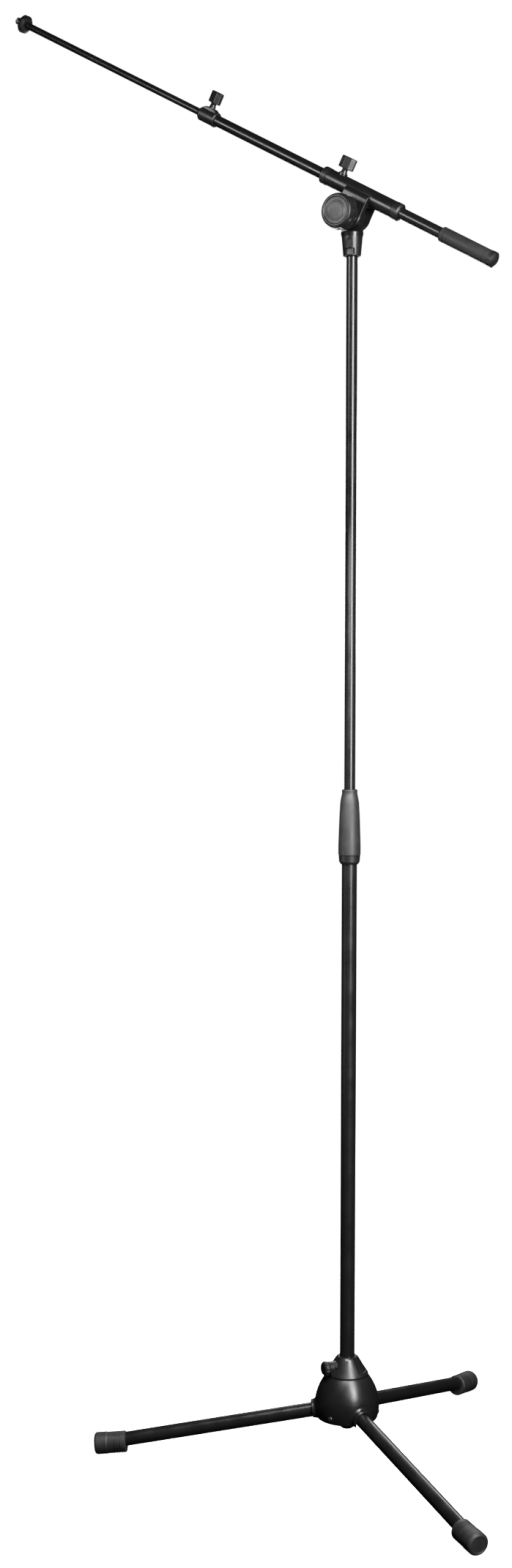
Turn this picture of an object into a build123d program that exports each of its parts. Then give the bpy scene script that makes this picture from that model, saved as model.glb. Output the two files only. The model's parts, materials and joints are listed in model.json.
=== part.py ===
from build123d import *

import os
from math import atan2, cos, degrees, radians, sin, tan

# Boom microphone stand: a folding tripod, a two-stage mast with a twist clutch, and a telescoping boom.
#
# The frame is millimetres with +Z up. The origin is on the mast's axis at floor level, and the boom lies in
# the XZ plane with its microphone end towards -X. Every piece is a separate solid in its own STEP file.

# ---------------------------------------------------------------- driving dimensions, in millimetres

# tubes
lower_tube_radius = 10.0
upper_tube_radius = 7.25
outer_boom_radius = 7.25
inner_boom_radius = 4.6
leg_tube_radius = 9.5
tube_wall = 1.2
inner_boom_wall = 1.0

# heights on the mast
tube_bottom = 50.0
hub_bottom = 61.5
hub_seam = 119.5
hub_top = 145.0
clutch_bottom = 809.0
clutch_length = 99.0
mast_exposed = 693.0  # from the clutch's top to the collar under the boom joint
mast_engagement = 70.0  # what the upper tube keeps inside the lower tube when it is drawn right out

# legs
leg_turn = 27.0
footprint_radius = 342.0
leg_axis_height = 78.6  # where the three leg axes would meet on the mast's axis
foot_end_height = 12.9  # of a leg's axis, at the foot's tip
hinge_radius = 30.0

# boom
boom_tilt = 28.0
boom_offset = 30.0  # from the tilt bolt's axis to the boom's axis
boom_tip = 629.5  # distances along the boom are measured from the point nearest to the tilt bolt
boom_rear = -217.5
clamp_half_length = 65.0
collar_front = 281.0
collar_length = 29.5
thread_radius = 4.76
thread_length = 10.5

# clearances
running = 0.05  # radial, between a shaft or tube and the bore it turns or slides in
gap = 0.3  # between parts of different bodies that only lie near each other

# ---------------------------------------------------------------- frames shared by several pieces

clutch_top = clutch_bottom + clutch_length
collar_bottom = clutch_top + mast_exposed
joint_seam = collar_bottom + 25.3
joint_shoulder = joint_seam + 6.0
tongue_radius = 16.5
cheek_radius = 20.0
pivot_height = joint_shoulder + cheek_radius + 1.5

boom_along = Vector(-cos(radians(boom_tilt)), 0, sin(radians(boom_tilt)))
boom_up = Vector(sin(radians(boom_tilt)), 0, cos(radians(boom_tilt)))
pivot = Vector(0, 0, pivot_height)
boom_foot = pivot + boom_up * boom_offset

# the boom's own frame: x along the boom to its tip, y away from the tilt bolt, z across (+Y)
boom_frame = Plane(origin=boom_foot, x_dir=boom_along, z_dir=(0, 1, 0))
boom_axis = Axis(boom_foot, boom_along)
pivot_axis = Axis(pivot, (0, -1, 0))
knob_frame = Plane(origin=pivot, x_dir=(0, -1, 0), z_dir=(1, 0, 0))  # x along the bolt to the knob

leg_slope = degrees(atan2(leg_axis_height - foot_end_height, footprint_radius))
leg_length = (footprint_radius - hinge_radius) / cos(radians(leg_slope))
hinge_height = leg_axis_height - hinge_radius * tan(radians(leg_slope))
leg_angles = [leg_turn + 180.0, leg_turn + 60.0, leg_turn - 60.0]
between_legs = [angle + 60.0 for angle in leg_angles]


def heading(angle):
    """The level unit vector at this compass angle about the mast."""
    return Vector(cos(radians(angle)), sin(radians(angle)), 0)


def leg_frame(angle):
    """A leg's frame at its hinge: x outwards down the leg, y up across it, z along the hinge pin."""
    down = heading(angle) * cos(radians(leg_slope)) - Vector(0, 0, sin(radians(leg_slope)))
    origin = heading(angle) * hinge_radius + Vector(0, 0, hinge_height)
    side = heading(angle - 90.0)
    return Plane(origin=origin, x_dir=down, z_dir=side)


def radial_frame(angle, height):
    """x outwards at this compass angle, y up, starting on the mast's axis at this height."""
    return Plane(origin=(0, 0, height), x_dir=heading(angle), z_dir=heading(angle - 90.0))


def axis_of(frame):
    """The frame's x direction as an axis to turn a profile about."""
    return Axis(frame.origin, frame.x_dir)


def outline(frame, points):
    """A closed straight-sided profile drawn in this frame."""
    with BuildSketch(frame) as drawing:
        with BuildLine():
            Polyline(*points, close=True)
        make_face()
    return drawing.sketch


def keep(name, builder):
    """Label the finished piece and write its STEP file."""
    builder.part.label = name
    export_step(builder.part, f"parts/{name}.step")


os.makedirs("parts", exist_ok=True)

# ---------------------------------------------------------------- tripod hub

skirt_radius = 43.3
rim_radius = 40.5
seam_radius = 28.4
crown_shoulder = 16.0
skirt_top = 90.0
hub_wall = 3.2
sleeve_radius = 13.6  # the hub's inner sleeve, which guides the lower tube
cheek_wall = 3.4
arch_radius = leg_tube_radius + 0.4
hood_radius = leg_tube_radius + 4.2
hood_reach = 46.5
hood_blend = 4.0  # radius where a hood runs into the bell
mouth_rounding = 1.5
rim_chamfer = 1.0
cone_bulge = 1.6
cavity_drop = 8.0  # how far the cavity's ceiling stays under the outer shoulders
hinge_pin_radius = 2.5
screw_height = 70.0
screw_radius = 2.0
screw_head_radius = 3.4
screw_seat = skirt_radius - 1.4
slot_back = hinge_radius - leg_tube_radius - 0.6  # how near the slots come to the mast
plate_thickness = 3.0
plate_radius = rim_radius - hub_wall - gap
screw_tip = plate_radius - 5.0
tab_height = 13.0
tab_width = 12.0
tab_inset = 0.4
tube_bore = lower_tube_radius + running
below = 40.0  # how far slots and cuts run past the casting

# The bell-shaped casting: a skin round a guide sleeve, with a hooded slot and two cheeks for each leg.
with BuildPart() as hub_cavity:
    with BuildSketch(Plane.XZ):
        with BuildLine():
            Polyline(
                (sleeve_radius, hub_bottom - 1),
                (plate_radius + gap, hub_bottom - 1),
                (skirt_radius - hub_wall, skirt_top - cavity_drop),
                (seam_radius - hub_wall, hub_seam - cavity_drop),
                (sleeve_radius, hub_seam - cavity_drop),
                close=True,
            )
        make_face()
    revolve(axis=Axis.Z)
    for angle in leg_angles:
        with BuildSketch(Plane(origin=(0, 0, hub_bottom - below), x_dir=heading(angle), z_dir=(0, 0, 1))):
            with Locations((skirt_radius, 0)):
                Rectangle(2 * skirt_radius, 2 * (arch_radius + cheek_wall))
        extrude(amount=3 * below, mode=Mode.SUBTRACT)

with BuildPart() as hub_housing:
    with BuildSketch(Plane.XZ):
        with BuildLine():
            rim = Line((0, hub_bottom), (rim_radius, hub_bottom))
            middle = hub_bottom + 0.55 * (skirt_top - hub_bottom)
            skirt = ThreePointArc(rim @ 1, (skirt_radius, middle), (skirt_radius - 1.0, skirt_top))
            bulge = (0.5 * (skirt_radius + seam_radius) + cone_bulge, 0.5 * (skirt_top + hub_seam))
            cone = ThreePointArc(skirt @ 1, bulge, (seam_radius, hub_seam))
            Polyline(cone @ 1, (0, hub_seam), (0, hub_bottom))
        make_face()
    revolve(axis=Axis.Z)
    for angle in leg_angles:
        frame = leg_frame(angle)
        with BuildSketch(Plane(origin=frame.origin, x_dir=frame.z_dir, z_dir=frame.x_dir)):
            Circle(hood_radius)
        extrude(amount=(hood_reach - hinge_radius) / cos(radians(leg_slope)))
    with BuildSketch(Plane.XY.offset(hub_bottom)):
        Circle(2 * skirt_radius)
    extrude(amount=-below, mode=Mode.SUBTRACT)
    fillet(hub_housing.edges().filter_by(GeomType.BSPLINE), radius=hood_blend)
    mouths = hub_housing.edges().filter_by(GeomType.CIRCLE).filter_by(lambda edge: edge.radius == hood_radius)
    fillet(mouths, radius=mouth_rounding)
    chamfer(hub_housing.faces().sort_by(Axis.Z)[0].edges(), length=rim_chamfer)
    add(hub_cavity.part, mode=Mode.SUBTRACT)
    with BuildSketch(Plane.XY.offset(hub_bottom)):
        Circle(plate_radius + gap)
    extrude(amount=plate_thickness, mode=Mode.SUBTRACT)
    for angle in leg_angles:
        frame = leg_frame(angle)
        inner = frame.origin - frame.x_dir * (hinge_radius - slot_back)
        with BuildSketch(Plane(origin=inner, x_dir=frame.z_dir, z_dir=frame.x_dir)):
            Circle(arch_radius)
            with Locations((0, below / 2)):
                Rectangle(2 * arch_radius, below)
        extrude(amount=2 * below, mode=Mode.SUBTRACT)
        with BuildSketch(frame):
            Circle(hinge_pin_radius)
        extrude(amount=arch_radius + cheek_wall, both=True, mode=Mode.SUBTRACT)
    for angle in between_legs:
        seat = radial_frame(angle, screw_height)
        with BuildSketch(Plane(seat.origin, z_dir=seat.x_dir)):
            Circle(screw_radius)
        extrude(amount=2 * skirt_radius, mode=Mode.SUBTRACT)
        with BuildSketch(Plane(seat.origin + seat.x_dir * screw_seat, z_dir=seat.x_dir)):
            Circle(screw_head_radius + gap)
        extrude(amount=skirt_radius, mode=Mode.SUBTRACT)
    with BuildSketch(Plane.XY):
        Circle(tube_bore)
    extrude(amount=hub_top, mode=Mode.SUBTRACT)
keep("hub_housing", hub_housing)

# The clamping crown above the seam: a cone over a thin ring, with a fin, a groove and a relief after each
# smooth panel, and a boss for the clamp screw.
clamp_angle = -125.0
clamp_height = 131.0
clamp_stud_radius = 4.0
boss_radius = 8.6
boss_reach = 27.6
seam_step = 0.9
seam_groove = 0.6
seam_ring = 1.4
crown_foot = hub_seam + 2 * seam_groove + seam_ring
crown_rounding = 3.0
ledge_height = 4.0  # plain band left under the grooves and reliefs
groove_start = -26.0
groove_arc = 6.0
groove_depth = 2.4
fin_arc = 12.0
relief_arc = 57.0
relief_depth = 0.8


def crown_cut(start, arc, depth):
    """A cut of this depth into the crown's flank, over this arc from this compass angle."""
    base = crown_foot + ledge_height
    lean = (seam_radius - crown_shoulder) / (hub_top - crown_rounding - crown_foot)
    inner = seam_radius - lean * ledge_height - depth
    upper = inner - lean * (hub_top - base)
    section = [(inner, base), (inner + skirt_radius, base), (inner + skirt_radius, hub_top), (upper, hub_top)]
    return revolve(outline(radial_frame(start, 0), section), Axis.Z, revolution_arc=arc, mode=Mode.SUBTRACT)


with BuildPart() as hub_crown:
    with BuildSketch(Plane.XZ):
        with BuildLine():
            foot = Polyline(
                (0, hub_seam),
                (seam_radius - seam_step, hub_seam),
                (seam_radius - seam_step, hub_seam + seam_groove),
                (seam_radius, hub_seam + seam_groove),
                (seam_radius, crown_foot - seam_groove),
                (seam_radius - seam_step, crown_foot - seam_groove),
                (seam_radius - seam_step, crown_foot),
                (seam_radius, crown_foot),
                (crown_shoulder, hub_top - crown_rounding),
            )
            top = TangentArc(foot @ 1, (crown_shoulder - crown_rounding, hub_top), tangent=foot % 1)
            Polyline(top @ 1, (0, hub_top), (0, hub_seam))
        make_face()
    revolve(axis=Axis.Z)
    for turn in (0.0, 120.0, 240.0):
        crown_cut(groove_start + turn, groove_arc, groove_depth)
        crown_cut(groove_start + groove_arc + fin_arc + turn, relief_arc, relief_depth)
    with BuildSketch(Plane((0, 0, clamp_height), x_dir=(0, 0, 1), z_dir=heading(clamp_angle))):
        Circle(boss_radius)
        with Locations((-boss_radius / 2, 0)):
            Rectangle(boss_radius, 2 * boss_radius)
    extrude(amount=boss_reach)
    with BuildSketch(Plane((0, 0, clamp_height), z_dir=heading(clamp_angle))):
        Circle(clamp_stud_radius + running)
    extrude(amount=2 * boss_reach, mode=Mode.SUBTRACT)
    with BuildSketch(Plane.XY):
        Circle(tube_bore)
    extrude(amount=2 * hub_top, mode=Mode.SUBTRACT)
keep("hub_crown", hub_crown)

# The brake shoe that the clamp screw presses against the tube.
shoe_length = 2.5
with BuildPart() as brake_shoe:
    with BuildSketch(Plane((0, 0, clamp_height), x_dir=(0, 0, 1), z_dir=heading(clamp_angle))):
        Circle(clamp_stud_radius)
    extrude(amount=tube_bore + shoe_length)
    with BuildSketch(Plane.XY):
        Circle(tube_bore)
    extrude(amount=2 * hub_top, mode=Mode.SUBTRACT)
keep("hub_brake_shoe", brake_shoe)

# The hub's clamp screw: a steel stud in a fluted round knob.
clamp_knob_radius = 9.8
clamp_knob_length = 8.0
clamp_flutes = 10
stud_start = tube_bore + shoe_length + gap
knob_start = boss_reach + gap
knob_socket = 5.0  # how far the stud reaches into its knob
clamp_frame = radial_frame(clamp_angle, clamp_height)

with BuildPart() as clamp_stud:
    with BuildSketch(Plane(clamp_frame.origin + clamp_frame.x_dir * stud_start, z_dir=clamp_frame.x_dir)):
        Circle(clamp_stud_radius)
    extrude(amount=knob_start + knob_socket - stud_start)
keep("hub_clamp_stud", clamp_stud)

with BuildPart() as clamp_knob:
    knob_end = knob_start + clamp_knob_length
    dome = [(knob_start, 0), (knob_start, 8.2), (knob_start + 2.5, clamp_knob_radius)]
    dome += [(knob_end - 2.0, clamp_knob_radius), (knob_end, 7.6), (knob_end, 0)]
    revolve(outline(clamp_frame, dome), axis=axis_of(clamp_frame))
    face = Plane(clamp_frame.origin + clamp_frame.x_dir * knob_start, z_dir=clamp_frame.x_dir)
    with BuildSketch(face):
        with PolarLocations(clamp_knob_radius + 1.3, clamp_flutes):
            Circle(2.0)
    extrude(amount=clamp_knob_length, mode=Mode.SUBTRACT)
    with BuildSketch(face):
        Circle(clamp_stud_radius)
    extrude(amount=knob_socket, mode=Mode.SUBTRACT)
keep("hub_clamp_knob", clamp_knob)

# The plate that closes the hub from below between the legs, with an upstand behind each radial screw.
with BuildPart() as bottom_plate:
    with BuildSketch(Plane.XY.offset(hub_bottom)):
        Circle(plate_radius)
        Circle(tube_bore + gap, mode=Mode.SUBTRACT)
        for angle in leg_angles:
            with Locations(heading(angle) * (slot_back + skirt_radius)):
                Rectangle(2 * skirt_radius, 2 * (arch_radius + gap), rotation=angle, mode=Mode.SUBTRACT)
    extrude(amount=plate_thickness)
    for angle in between_legs:
        outer = plate_radius - tab_inset
        inner = outer - plate_thickness
        tab = [(inner, hub_bottom), (outer, hub_bottom)]
        tab += [(outer, hub_bottom + tab_height), (inner, hub_bottom + tab_height)]
        extrude(outline(radial_frame(angle, 0), tab), amount=tab_width / 2, both=True)
        with BuildSketch(Plane((0, 0, screw_height), z_dir=heading(angle))):
            Circle(screw_radius)
        extrude(amount=skirt_radius, mode=Mode.SUBTRACT)
keep("hub_bottom_plate", bottom_plate)

# Three radial screws hold the plate's upstands to the skirt.
with BuildPart() as plate_screws:
    for angle in between_legs:
        frame = radial_frame(angle, screw_height)
        screw = [(screw_tip, 0), (screw_tip, screw_radius), (screw_seat, screw_radius)]
        screw += [(screw_seat, screw_head_radius), (screw_seat + 1.2, screw_head_radius - 0.5)]
        screw.append((screw_seat + 1.8, 0))
        revolve(outline(frame, screw), axis=axis_of(frame))
keep("hub_plate_screws", plate_screws)

# Three hinge pins, pressed through the cheeks.
with BuildPart() as hinge_pins:
    for angle in leg_angles:
        frame = leg_frame(angle)
        with BuildSketch(frame):
            Circle(hinge_pin_radius)
        extrude(amount=arch_radius + cheek_wall, both=True)
keep("leg_hinge_pins", hinge_pins)

# ---------------------------------------------------------------- legs

eye_radius = 7.0
eye_half_width = 6.4
root_length = 26.0
root_flange = 2.0
foot_radius = 14.6
foot_neck = 14.2
foot_length = 43.0
foot_slope = 5.5  # the rubber cap's own axis lies flatter than the leg
foot_axis_height = 13.6
foot_rounding = 4.0
foot_crease = 17.0
foot_dish = 10.6
foot_recess = 0.6
foot_wall = 5.0  # rubber between the tube's end and the tip
foot_grooves = 3
foot_grooves_at = 31.5
groove_pitch = 3.8
groove_width = 1.3
tube_start = leg_tube_radius + 2.5


def leg_root(frame):
    """The plug in the leg's upper end: an eye on the hinge pin and a round spigot in the tube."""
    with BuildPart() as root:
        with BuildSketch(frame):
            Circle(eye_radius)
            with Locations((tube_start / 2, 0)):
                Rectangle(tube_start, 2 * eye_radius)
        extrude(amount=eye_half_width, both=True)
        with BuildSketch(Plane(frame.origin + frame.x_dir * (tube_start - root_flange), z_dir=frame.x_dir)):
            Circle(leg_tube_radius - 0.6)
        extrude(amount=root_flange)
        with BuildSketch(Plane(frame.origin + frame.x_dir * tube_start, z_dir=frame.x_dir)):
            Circle(leg_tube_radius - tube_wall)
        extrude(amount=root_length)
        with BuildSketch(frame):
            Circle(hinge_pin_radius + running)
        extrude(amount=2 * leg_tube_radius, both=True, mode=Mode.SUBTRACT)
    return root


def leg_tube(frame):
    """The steel tube from the root to just inside the rubber foot's closed end."""
    with BuildPart() as tube:
        with BuildSketch(Plane(frame.origin + frame.x_dir * tube_start, z_dir=frame.x_dir)):
            Circle(leg_tube_radius)
            Circle(leg_tube_radius - tube_wall, mode=Mode.SUBTRACT)
        extrude(amount=leg_length - foot_wall - tube_start)
    return tube


def leg_foot(angle):
    """The rubber cap: it lies flatter than the tube, with ring grooves, a round tip and a flat sole."""
    leg = leg_frame(angle)
    outwards = heading(angle) * cos(radians(foot_slope)) - Vector(0, 0, sin(radians(foot_slope)))
    tip = heading(angle) * footprint_radius + Vector(0, 0, foot_axis_height)
    frame = Plane(origin=tip, x_dir=outwards, z_dir=leg.z_dir)
    with BuildPart() as foot:
        with BuildSketch(frame):
            with BuildLine():
                sleeve = Polyline(
                    (-foot_recess, 0),
                    (-foot_length, 0),
                    (-foot_length, foot_neck - 1.0),
                    (1.0 - foot_length, foot_neck),
                    (-foot_crease - 1.0, foot_neck),
                    (-foot_crease, foot_radius),
                    (-foot_rounding, foot_radius),
                )
                nose = TangentArc(sleeve @ 1, (0, foot_radius - foot_rounding), tangent=sleeve % 1)
                Polyline(nose @ 1, (0, foot_dish), (-foot_recess, foot_dish - foot_recess), (-foot_recess, 0))
            make_face()
            with GridLocations(groove_pitch, 1, foot_grooves, 1):
                with Locations((-foot_grooves_at, foot_neck)):
                    Rectangle(groove_width, 2 * groove_width, mode=Mode.SUBTRACT)
        revolve(axis=axis_of(frame))
        with BuildSketch(Plane(leg.origin, z_dir=leg.x_dir)):
            Circle(leg_tube_radius)
        extrude(amount=leg_length - foot_wall, mode=Mode.SUBTRACT)
        with BuildSketch(Plane.XY):
            Circle(2 * footprint_radius)
        extrude(amount=-below, mode=Mode.SUBTRACT)
    return foot


for number, angle in enumerate(leg_angles, start=1):
    keep(f"leg_{number}_root", leg_root(leg_frame(angle)))
    keep(f"leg_{number}_tube", leg_tube(leg_frame(angle)))
    keep(f"leg_{number}_foot", leg_foot(angle))

# ---------------------------------------------------------------- mast

tube_end = clutch_bottom + 59.0
collet_bore = upper_tube_radius + running
sleeve_outer = 11.8
sleeve_top = tube_end + 20.0
collar_height = 11.5
collar_radius = 14.2
flange_radius = 10.6
grip_radius = 14.7
grip_bottom = clutch_bottom + collar_height + gap
upper_bottom = tube_end - mast_engagement
guide_radius = lower_tube_radius - tube_wall - running
guide_length = 16.0

with BuildPart() as lower_tube:
    with BuildSketch(Plane.XY.offset(tube_bottom)):
        Circle(lower_tube_radius)
        Circle(lower_tube_radius - tube_wall, mode=Mode.SUBTRACT)
    extrude(amount=tube_end - tube_bottom)
keep("lower_tube", lower_tube)

# The plastic plug that closes the lower tube under the hub.
with BuildPart() as foot_plug:
    plug = [(0, tube_bottom - 3.5), (7.0, tube_bottom - 3.5), (9.7, tube_bottom - 1.5), (9.7, tube_bottom)]
    plug.append((lower_tube_radius - tube_wall, tube_bottom))
    plug += [(lower_tube_radius - tube_wall, tube_bottom + 12.0), (0, tube_bottom + 12.0)]
    revolve(outline(Plane.XZ, plug), axis=Axis.Z)
keep("lower_tube_plug", foot_plug)

# The clutch's fixed part: a ring at the bottom and a sleeve pressed on the lower tube's end.
with BuildPart() as clutch_collar:
    ring = [(lower_tube_radius, clutch_bottom), (11.4, clutch_bottom), (13.6, clutch_bottom + 3.4)]
    ring += [(collar_radius, clutch_bottom + collar_height), (sleeve_outer, clutch_bottom + collar_height)]
    ring += [(sleeve_outer, sleeve_top), (collet_bore + 1.7, sleeve_top), (collet_bore + 1.7, tube_end)]
    ring.append((lower_tube_radius, tube_end))
    revolve(outline(Plane.XZ, ring), axis=Axis.Z)
keep("clutch_collar", clutch_collar)

# The slit collet that the clutch closes on the upper tube.
with BuildPart() as clutch_collet:
    cone = [(collet_bore, tube_end + 0.2), (collet_bore + 1.6, tube_end + 0.2)]
    cone.append((collet_bore + 1.6, sleeve_top))
    cone += [(flange_radius, sleeve_top + 0.2), (flange_radius - 1.8, sleeve_top + 9.0)]
    cone.append((collet_bore, sleeve_top + 9.0))
    revolve(outline(Plane.XZ, cone), axis=Axis.Z)
    with BuildSketch(Plane.XY.offset(sleeve_top + 1.5)):
        with PolarLocations(flange_radius, 4):
            Rectangle(2 * (flange_radius - collet_bore + 1.0), 1.2)
    extrude(amount=12.0, mode=Mode.SUBTRACT)
keep("clutch_collet", clutch_collet)

# The turning grip: a long soft barrel that narrows to a round shoulder at the top.
with BuildPart() as clutch_grip:
    with BuildSketch(Plane.XZ):
        with BuildLine():
            bore = Polyline(
                (upper_tube_radius + gap, clutch_top),
                (upper_tube_radius + gap, sleeve_top + 9.5),
                (flange_radius + gap, sleeve_top + 9.5),
                (flange_radius + gap, sleeve_top + 0.2),
                (sleeve_outer + running, sleeve_top + 0.2),
                (sleeve_outer + running, grip_bottom),
                (grip_radius, grip_bottom),
                (grip_radius, grip_bottom + 12.0),
                (grip_radius - 1.5, clutch_top - 27.0),
            )
            shoulder = ThreePointArc(
                bore @ 1,
                (grip_radius - 2.9, clutch_top - 12.0),
                (upper_tube_radius + 2.9, clutch_top - 1.6),
            )
            Polyline(shoulder @ 1, (upper_tube_radius + 2.0, clutch_top), bore @ 0)
        make_face()
    revolve(axis=Axis.Z)
keep("clutch_grip", clutch_grip)

# The guide bush that slides inside the lower tube and lets the upper tube turn.
with BuildPart() as guide_bush:
    with BuildSketch(Plane.XY.offset(upper_bottom + 2.0)):
        Circle(guide_radius)
        Circle(upper_tube_radius + running, mode=Mode.SUBTRACT)
    extrude(amount=guide_length)
keep("mast_guide_bush", guide_bush)

# The upper tube, with a rolled bead over the bush and a fine ring near its top.
bead_height = upper_bottom + 2.0 + guide_length + gap
joint_depth = joint_seam - 5.0
ring_height = collar_bottom - 6.0
with BuildPart() as upper_tube:
    with BuildSketch(Plane.XY.offset(upper_bottom)):
        Circle(upper_tube_radius)
        Circle(upper_tube_radius - tube_wall, mode=Mode.SUBTRACT)
    extrude(amount=joint_depth - upper_bottom)
    bead = [(upper_tube_radius - 0.5, bead_height), (upper_tube_radius + 0.9, bead_height)]
    bead += [(upper_tube_radius + 0.9, bead_height + 1.0), (upper_tube_radius - 0.5, bead_height + 2.4)]
    revolve(outline(Plane.XZ, bead), axis=Axis.Z)
    for height in (ring_height, ring_height - 2.6):
        groove = [(upper_tube_radius - 0.3, height), (upper_tube_radius + 1, height)]
        groove += [(upper_tube_radius + 1, height + 0.7), (upper_tube_radius - 0.3, height + 0.7)]
        revolve(outline(Plane.XZ, groove), axis=Axis.Z, mode=Mode.SUBTRACT)
keep("upper_tube", upper_tube)

# The plug that keeps the bush on the upper tube.
with BuildPart() as end_plug:
    with BuildSketch(Plane.XY.offset(upper_bottom)):
        Circle(upper_tube_radius - tube_wall)
    extrude(amount=15.0)
    with BuildSketch(Plane.XY.offset(upper_bottom)):
        Circle(guide_radius - 0.6)
    extrude(amount=-3.0)
keep("upper_tube_plug", end_plug)

# ---------------------------------------------------------------- boom joint, lower half

spigot_radius = 10.0
collar_wall_bottom = 11.5
collar_wall_top = 13.6
body_radius = 14.75
tongue_half = 6.0
neck_half = 13.0
bolt_radius = 4.0
washer_thickness = 1.2
washer_radius = 14.0
slot_half = tongue_half + washer_thickness + 2 * running
window_turn = -78.0
window_bottom = 11.5
window_half = 4.5

# The swivel base: a round body on the tube with the tongue that the boom clamp straddles.
with BuildPart() as swivel_base:
    with BuildSketch(Plane.XZ):
        with BuildLine():
            Polyline(
                (0, joint_seam - 14.0),
                (spigot_radius, joint_seam - 14.0),
                (spigot_radius, joint_seam),
                (body_radius - 0.9, joint_seam),
                (body_radius, joint_shoulder - 1.2),
                (body_radius - 1.2, joint_shoulder),
                (0, joint_shoulder),
                close=True,
            )
        make_face()
    revolve(axis=Axis.Z)
    with BuildSketch(Plane.XZ):
        with Locations((0, pivot_height)):
            Circle(tongue_radius)
        neck = pivot_height - joint_shoulder + 1.0
        with Locations((0, pivot_height - neck / 2)):
            Rectangle(2 * neck_half, neck)
    extrude(amount=tongue_half, both=True)
    with BuildSketch(Plane.XY.offset(joint_seam - 20.0)):
        Circle(upper_tube_radius)
    extrude(amount=joint_depth - joint_seam + 20.0, mode=Mode.SUBTRACT)
    with BuildSketch(Plane(pivot, z_dir=(0, 1, 0))):
        Circle(bolt_radius + running)
    extrude(amount=2 * body_radius, both=True, mode=Mode.SUBTRACT)
keep("swivel_base", swivel_base)

# The tapered collar under it, with an arched window and open gaps between two pairs of prongs.
with BuildPart() as joint_collar:
    shell = [(spigot_radius, joint_seam), (collar_wall_top, joint_seam)]
    shell.append((collar_wall_bottom, collar_bottom + 1.0))
    shell += [(collar_wall_bottom - 1.0, collar_bottom), (upper_tube_radius + 1.6, collar_bottom)]
    shell.append((spigot_radius, collar_bottom + 2.2))
    revolve(outline(Plane.XZ, shell), axis=Axis.Z)
    for turn in (0.0, 180.0):
        face = Plane((0, 0, 0), x_dir=heading(window_turn + turn + 90.0), z_dir=heading(window_turn + turn))
        with BuildSketch(face):
            with Locations((0, collar_bottom + window_bottom / 2)):
                Rectangle(13.0, window_bottom - 3.0)
            with Locations((0, collar_bottom + window_bottom + 3.0)):
                Rectangle(2 * window_half, 6.0)
            with Locations((0, collar_bottom + window_bottom + 6.0)):
                Circle(window_half)
        extrude(amount=2 * body_radius, mode=Mode.SUBTRACT)
keep("joint_collar", joint_collar)

# The spring clip that fills the windows and keeps the collar on the swivel base.
with BuildPart() as lock_clip:
    for turn in (0.0, 180.0):
        face = Plane((0, 0, 0), x_dir=heading(window_turn + turn + 90.0), z_dir=heading(window_turn + turn))
        with BuildSketch(face):
            with Locations((0, collar_bottom + window_bottom + 3.0)):
                Rectangle(2 * (window_half - gap), 6.0)
            with Locations((0, collar_bottom + window_bottom + 6.0)):
                Circle(window_half - gap)
        extrude(amount=spigot_radius + 1.5)
    with BuildSketch(Plane.XY):
        Circle(spigot_radius)
    extrude(amount=2 * pivot_height, mode=Mode.SUBTRACT)
keep("joint_lock_clips", lock_clip)

# The steel ferrule on the tube, seen between the prongs.
with BuildPart() as ferrule:
    with BuildSketch(Plane.XY.offset(collar_bottom + 1.8)):
        RegularPolygon(spigot_radius - 0.2, 6)
        Circle(upper_tube_radius, mode=Mode.SUBTRACT)
    extrude(amount=joint_seam - 14.0 - collar_bottom - 1.8)
keep("joint_ferrule", ferrule)

# The friction washers on both sides of the tongue.
with BuildPart() as washers:
    for side in (-1, 1):
        start = Plane(pivot + Vector(0, side * tongue_half, 0), z_dir=(0, side, 0))
        with BuildSketch(start):
            Circle(washer_radius)
            Circle(bolt_radius + running, mode=Mode.SUBTRACT)
        extrude(amount=washer_thickness)
keep("friction_washers", washers)

# ---------------------------------------------------------------- boom joint, upper half

clamp_radius = 11.0
clamp_bore = 9.0
web_half_width = 19.5
web_half_depth = 15.0
web_top = 3.0  # how far the web stands above the boom's axis
web_shoulder = 8.0  # radius of the web's two long shoulders
cast_rounding = 1.2
fork_clearance = 1.0  # between the tongue's round end and the slot's ceiling
boss_round = 6.0
boss_rise = 1.6  # how far the thumbscrew's boss stands above the sleeve
sleeve_half = clamp_half_length - 11.0
tube_running_bore = outer_boom_radius + running
boom_screw_at = 37.5
bush_depth = 10.0
screw_shank = 3.0
bolt_head = 13.0
head_depth = 5.5
head_seat = Plane(pivot + Vector(0, web_half_depth - head_depth, 0), z_dir=(0, 1, 0))

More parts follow.
